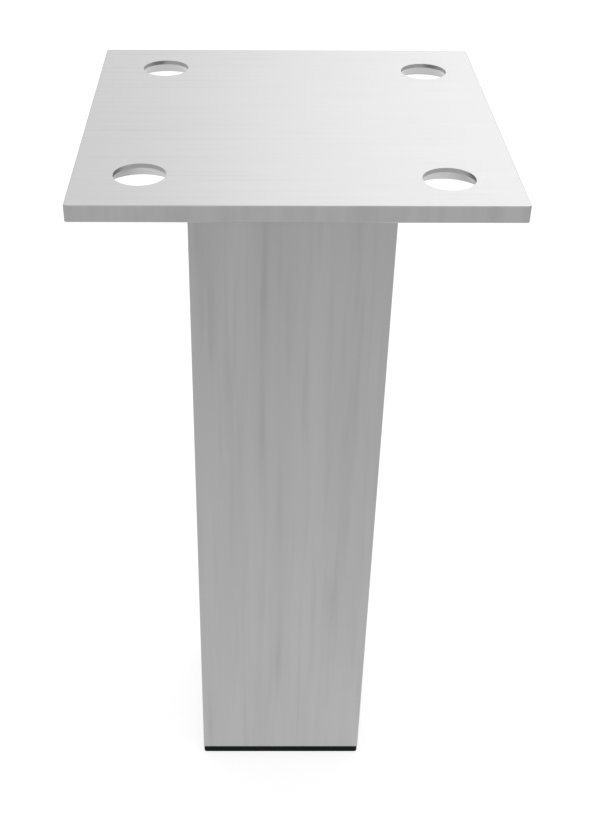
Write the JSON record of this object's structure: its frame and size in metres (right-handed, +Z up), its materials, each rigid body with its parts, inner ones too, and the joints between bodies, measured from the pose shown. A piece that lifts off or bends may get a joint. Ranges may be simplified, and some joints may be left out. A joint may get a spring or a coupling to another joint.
{
  "type": "cabinet leg",
  "caption": "Square stainless steel cabinet leg: a square tube under a drilled mounting plate, with a thin black foot cap.",
  "frame": {"origin": "centre of the foot's underside, where the leg stands on the floor", "axes": "+Z up along the tube to the mounting plate, -Y to the front as pictured, +X to the right"},
  "size_m": [0.05, 0.05, 0.1032],
  "materials": {
    "brushed_sheet": "fine brushed strokes from left to right across the plate",
    "brushed_tube": "brushed strokes along the tube's length",
    "weld_metal": "fine ripples of a cleaned weld",
    "black_plastic": "fine moulded texture"
  },
  "bodies": {
    "root": {"mounting_plate": "brushed_sheet", "leg_tube": "brushed_tube", "weld_bead": "weld_metal", "foot_cap": "black_plastic"}
  },
  "joints": []
}
